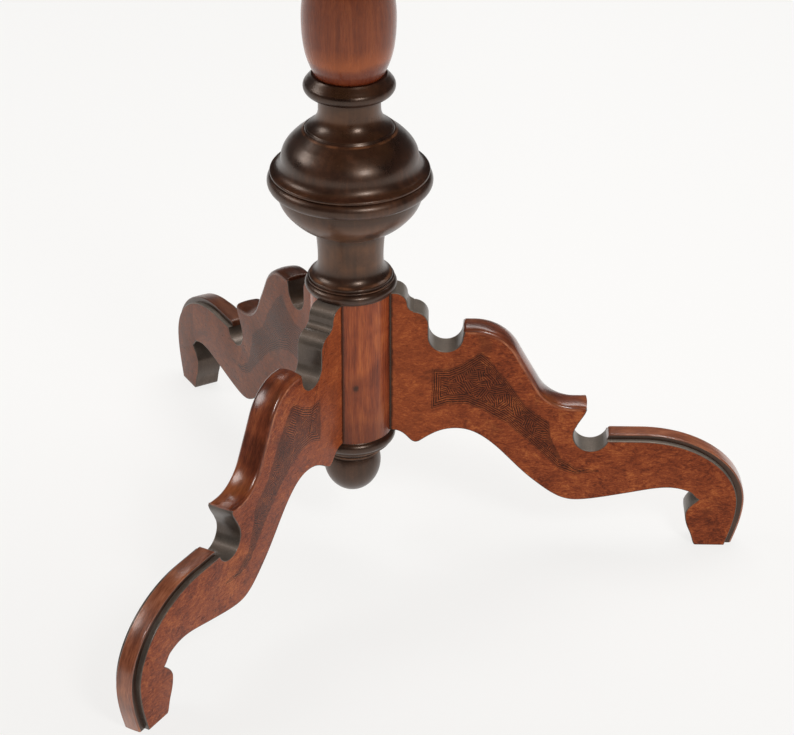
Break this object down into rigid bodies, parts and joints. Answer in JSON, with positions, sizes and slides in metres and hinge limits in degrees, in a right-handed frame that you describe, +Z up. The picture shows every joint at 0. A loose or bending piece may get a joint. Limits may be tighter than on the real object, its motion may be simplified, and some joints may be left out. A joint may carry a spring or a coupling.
{
  "type": "tilt top table",
  "caption": "Round tilt-top pillar table: turned column on scrolled plank legs, with a hinged top held level by a sliding catch bolt.",
  "frame": {"origin": "on the floor, on the pillar's axis", "axes": "+Z up; +X along leg a and towards the catch; the tilt pivots lie along Y at the -X edge of the block"},
  "size_m": [0.7999, 0.8, 0.745],
  "materials": {
    "red_wood": "polished red-brown wood",
    "ebonised": "ebonised wood, satin polish",
    "burl_veneer": "polished burl veneer",
    "pale_wood": "unpolished pine",
    "brass": "aged brass"
  },
  "bodies": {
    "stand": {"core_post": "red_wood", "base_moulding": "ebonised", "bowl_lower": "ebonised", "bowl_upper": "ebonised", "neck_ring": "ebonised", "baluster": "red_wood", "capital": "ebonised", "collar": "ebonised", "finial": "ebonised", "leg_a": "ebonised", "leg_b": "ebonised", "leg_c": "ebonised", "leg_a_veneer_l": "burl_veneer", "leg_a_veneer_r": "burl_veneer", "leg_b_veneer_l": "burl_veneer", "leg_b_veneer_r": "burl_veneer", "leg_c_veneer_l": "burl_veneer", "leg_c_veneer_r": "burl_veneer", "foot_strip_a": "red_wood", "foot_strip_b": "red_wood", "foot_strip_c": "red_wood", "leg_dowels": "pale_wood", "top_block": "red_wood", "tenon_wedge": "pale_wood", "pivot_pins": "red_wood", "keeper_plate": "brass", "keeper_screws": "brass"},
    "top": {"top_board_1": "pale_wood", "top_board_2": "pale_wood", "top_board_3": "pale_wood", "top_board_4": "pale_wood", "top_veneer": "burl_veneer", "edge_moulding": "ebonised", "bearer_l": "red_wood", "bearer_r": "red_wood", "bearer_screws": "brass", "catch_case": "brass", "catch_screws": "brass"},
    "catch": {"catch_bolt": "brass", "catch_knob": "brass"}
  },
  "joints": [
    {"name": "top_tilt", "type": "hinge", "parent": "stand", "child": "top", "pos_m": [-0.066, 0, 0.707], "axis": [0, -1, 0], "range_deg": [0, 90]},
    {"name": "catch_slide", "type": "slide", "parent": "top", "child": "catch", "axis": [-1, 0, 0], "range_m": [0, 0.014]}
  ]
}
